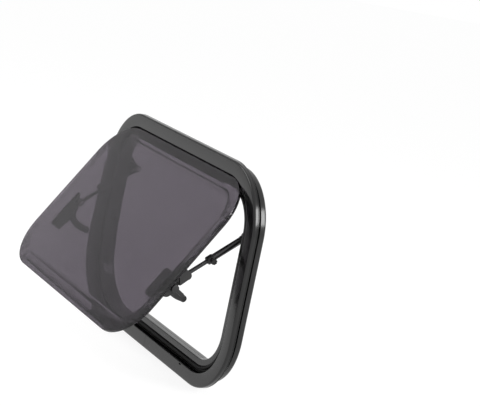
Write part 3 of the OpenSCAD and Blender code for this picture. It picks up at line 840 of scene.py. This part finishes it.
def screwHead():  # radius 1, standing on z = 0, with a cross recess
    bm = bmesh.new()
    count = screw["sides"]
    turns = [2 * math.pi * k / count for k in range(count)]
    rim = [[bm.verts.new((r * math.cos(a), r * math.sin(a), z)) for a in turns]
           for r, z in ((1, -0.2), (1, 0.12), (0.9, 0.3), (screw["flat"], screw["dome"]))]
    for a, b in zip(rim, rim[1:]):
        for k in range(count):
            bm.faces.new((a[k], a[(k + 1) % count], b[(k + 1) % count], b[k]))
    bm.faces.new(rim[0][::-1])
    w, reach = screw["slot"], screw["recess"]
    cross = [(reach, -w), (reach, w), (w, w), (w, reach), (-w, reach), (-w, w),
             (-reach, w), (-reach, -w), (-w, -w), (-w, -reach), (w, -reach), (w, -w)]
    mouth = [bm.verts.new((x, y, screw["dome"])) for x, y in cross]
    pit = [bm.verts.new((x * 0.6, y * 0.6, screw["dome"] - 0.3)) for x, y in cross]
    edges = [bm.edges.new((a, b)) for a, b in zip(mouth, mouth[1:] + mouth[:1])]
    edges += [bm.edges.get((a, b)) for a, b in zip(rim[-1], rim[-1][1:] + rim[-1][:1])]
    for k in range(len(cross)):
        after = (k + 1) % len(cross)
        bm.faces.new((mouth[k], pit[k], pit[after], mouth[after]))
    bm.faces.new(pit)
    bmesh.ops.triangle_fill(bm, use_beauty=True, use_dissolve=False, edges=edges)
    bmesh.ops.recalc_face_normals(bm, faces=bm.faces)
    mesh = bpy.data.meshes.new("screwHead")
    bm.to_mesh(mesh)
    bm.free()
    obj = bpy.data.objects.new("screwHead", mesh)
    scene.collection.objects.link(obj)
    return obj


def screwTree():
    tree = bpy.data.node_groups.new("screwRow", "GeometryNodeTree")
    face = tree.interface
    face.new_socket("Geometry", in_out="INPUT", socket_type="NodeSocketGeometry")
    kinds = {"Head": "NodeSocketObject", "Head radius": "NodeSocketFloat", "Seed": "NodeSocketInt",
             "Finish": "NodeSocketMaterial"}
    keys = {name: face.new_socket(name, in_out="INPUT", socket_type=kind).identifier for name, kind in kinds.items()}
    face.new_socket("Geometry", in_out="OUTPUT", socket_type="NodeSocketGeometry")
    w = Wire(tree)
    inputs = tree.nodes.new("NodeGroupInput")
    given = {s.name: Wire(tree, s) for s in inputs.outputs if s.name}
    facing = w.node("GeometryNodeInputNamedAttribute", {"data_type": "FLOAT_VECTOR"}, {"Name": "facing"})
    stand = w.node("FunctionNodeAlignRotationToVector", {"axis": "Z"}, {"Vector": facing})
    spin = w.node("FunctionNodeRandomValue", {"data_type": "FLOAT"}, {2: 0.0, 3: 1.5, "Seed": given["Seed"]}, 1)
    euler = w.node("ShaderNodeCombineXYZ", None, {"Z": spin})
    turn = w.node("FunctionNodeEulerToRotation", None, {"Euler": euler})
    stand = w.node("FunctionNodeRotateRotation", {"rotation_space": "LOCAL"}, {"Rotation": stand, "Rotate By": turn})
    head = w.node("GeometryNodeObjectInfo", None, {"Object": given["Head"]}, "Geometry")
    rows = w.node("GeometryNodeInstanceOnPoints", None,
                  {"Points": given["Geometry"], "Instance": head, "Rotation": stand, "Scale": given["Head radius"]})
    real = w.node("GeometryNodeRealizeInstances", None, {"Geometry": rows})
    done = w.node("GeometryNodeSetMaterial", None, {"Geometry": real, "Material": given["Finish"]})
    out = tree.nodes.new("NodeGroupOutput")
    tree.links.new(done.socket, out.inputs[0])
    return tree, keys


def ringScrewPlaces():
    u, back, z0 = screw["ringInset"], -window["ringBack"], window["midHeight"]
    halfWidth, halfHeight, r = window["width"] / 2, window["height"] / 2, window["corner"]
    places = [(x, back, z0 + up * (halfHeight - u)) for up in (-1, 1) for x in screw["ringAlong"]]
    places += [(s * (halfWidth - u), back, z0 + z) for s in (-1, 1) for z in screw["ringUp"]]
    alongX, alongZ = [half - r + (r - u) * math.sqrt(0.5) for half in (halfWidth, halfHeight)]
    return places + [(s * alongX, back, z0 + up * alongZ) for s in (-1, 1) for up in (-1, 1)]


def bracketScrewPlaces():
    x0, y0 = bracket["x"] + screw["bracketX"], bracket["thick"] - window["ringBack"]
    z0 = window["midHeight"] + window["stayUp"]
    return [(s * x0, y0, z0 + z) for s in sides.values() for z in screw["bracketUp"]]


def paneScrewPlaces():
    (left, right), (bottom, top), z0 = base["x"], base["z"], window["midHeight"]
    spots = [(left + 5.2, top - 7), (left + 5.2, bottom + 7), (right - 7, bottom + 6)]
    return [(s * x, footY, z0 + z) for s in sides.values() for x, z in spots]


def screwRow(name, places, radius, place, body):  # one screw on each place, facing the inside
    mesh = bpy.data.meshes.new(name + "Points")
    mesh.from_pydata([tuple(place @ Vector(p) * millimetre) for p in places], [], [])
    direction = (place.to_3x3() @ Vector((0, 1, 0))).normalized()
    attribute = mesh.attributes.new("facing", "FLOAT_VECTOR", "POINT")
    attribute.data.foreach_set("vector", list(direction) * len(places))
    obj = bpy.data.objects.new(name + "Points", mesh)
    scene.collection.objects.link(obj)
    rows = obj.modifiers.new("screws", "NODES")
    rows.node_group = rowTree
    for key, value in (("Head", headObject), ("Head radius", radius * millimetre), ("Seed", screw["seed"]),
                       ("Finish", material["fitting_metal"])):
        rows[rowKeys[key]] = value
    bpy.context.view_layer.update()
    placed(name, evaluated(obj), Matrix.Scale(1 / millimetre, 4), body, "fitting_metal", (), 30)


headObject = screwHead()
rowTree, rowKeys = screwTree()
screwRow("ringScrews", ringScrewPlaces(), screw["ringRadius"], onWall, "frame")
screwRow("bracketScrews", bracketScrewPlaces(), screw["bracketRadius"], onWall, "frame")
screwRow("paneScrews", paneScrewPlaces(), screw["paneRadius"], onPane, "flap")
bpy.data.objects.remove(headObject)
print("screws set")

# Studio
studio = {
    "floor": 14.0, "floorLight": 0.8, "floorGlow": 1.12, "worldLight": 0.5,
    "cardX": -1.8, "cardY": (-0.1, -5), "cardZ": (0.3, 3.4), "cardShade": 0.6,
    "aim": (0, 0, 0.17), "keyPlace": (-0.9, -1.6, 1.9), "keySize": 1.6, "keyPower": 22,
    "rimPlace": (1.88, 1.0, 1.22), "rimSize": 1.0, "rimPower": 36,
}


def whiteForSight(tree):  # 1 for the rays that see the backdrop, 0 for the rays that light the window
    path = tree.nodes.new("ShaderNodeLightPath")
    rays = ("Is Camera Ray", "Is Glossy Ray", "Is Transmission Ray")
    camera, glossy, through = [Wire(tree, path.outputs[ray]) for ray in rays]
    return (camera + glossy + through).limited()


def stageSheet(name, corners, finishName):
    mesh = bpy.data.meshes.new(name)
    mesh.from_pydata(corners, [], [(0, 1, 2, 3)])
    obj = bpy.data.objects.new(name, mesh)
    scene.collection.objects.link(obj)
    made = bpy.data.materials.new(finishName)
    made.use_nodes = True
    mesh.materials.append(made)
    return obj, made.node_tree


def studioFloor():
    half, low = studio["floor"], cadBounds[0].z
    corners = [(-half, -half, low), (half, -half, low), (half, half, low), (-half, half, low)]
    tree = stageSheet("floor", corners, "floorWhite")[1]
    w = Wire(tree)
    diffuse = w.node("ShaderNodeBsdfDiffuse", None, {"Color": (0.9, 0.9, 0.9, 1)})
    glow = w.node("ShaderNodeEmission", None, {"Color": (1, 1, 1, 1), "Strength": studio["floorGlow"]})
    mixed = w.node("ShaderNodeMixShader", None, {0: whiteForSight(tree) * studio["floorLight"], 1: diffuse, 2: glow})
    tree.links.new(mixed.socket, tree.nodes["Material Output"].inputs["Surface"])


def studioWorld():
    world = bpy.data.worlds.new("studio")
    scene.world = world
    world.use_nodes = True
    tree = world.node_tree
    background = tree.nodes["Background"]
    background.inputs["Color"].default_value = (1, 1, 1, 1)
    strength = whiteForSight(tree) * (1 - studio["worldLight"]) + studio["worldLight"]
    tree.links.new(strength.socket, background.inputs["Strength"])


def softLamp(name, place, size, power):
    lamp = bpy.data.lights.new(name, "AREA")
    lamp.shape, lamp.size, lamp.energy = "SQUARE", size, power
    obj = bpy.data.objects.new(name, lamp)
    scene.collection.objects.link(obj)
    obj.location = place
    obj.rotation_mode = "QUATERNION"
    obj.rotation_quaternion = (Vector(studio["aim"]) - Vector(place)).to_track_quat("-Z", "Y")


def sideCard():  # seen only in reflections: what the pane's outer face mirrors
    x, (near, far), (low, high), shade = studio["cardX"], studio["cardY"], studio["cardZ"], studio["cardShade"]
    obj, tree = stageSheet("sideCard", [(x, near, low), (x, far, low), (x, far, high), (x, near, high)], "sideCardGrey")
    paint = tree.nodes["Principled BSDF"]
    paint.inputs["Base Color"].default_value = (shade, shade, shade, 1)
    paint.inputs["Roughness"].default_value = 0.9
    obj.visible_camera = obj.visible_diffuse = obj.visible_shadow = obj.visible_transmission = False


studioFloor()
studioWorld()
sideCard()
softLamp("keyLamp", studio["keyPlace"], studio["keySize"], studio["keyPower"])
softLamp("rimLamp", studio["rimPlace"], studio["rimSize"], studio["rimPower"])

# Camera: where the photograph was taken from
view = {"place": (2.1032, -1.1378, 0.7048), "turn": (3.47, 59.89, 16.1), "lens": 112.5, "sensor": 36,
        "clip": (0.05, 60)}


def photoCamera():
    turn = Vector([math.radians(a) for a in view["turn"]])
    axes = Matrix.Rotation(turn.length, 3, turn.normalized()) @ Matrix(((1, 0, 0), (0, 0, -1), (0, 1, 0)))
    right, down, ahead = axes[0], axes[1], axes[2]
    data = bpy.data.cameras.new("photoCamera")
    data.lens, data.sensor_width, data.sensor_fit = view["lens"], view["sensor"], "HORIZONTAL"
    data.clip_start, data.clip_end = view["clip"]
    obj = bpy.data.objects.new("photoCamera", data)
    scene.collection.objects.link(obj)
    obj.matrix_world = Matrix.Translation(view["place"]) @ Matrix((right, -down, -ahead)).transposed().to_4x4()
    scene.camera = obj


photoCamera()
scene.view_settings.view_transform = "Standard"
print("studio ready")
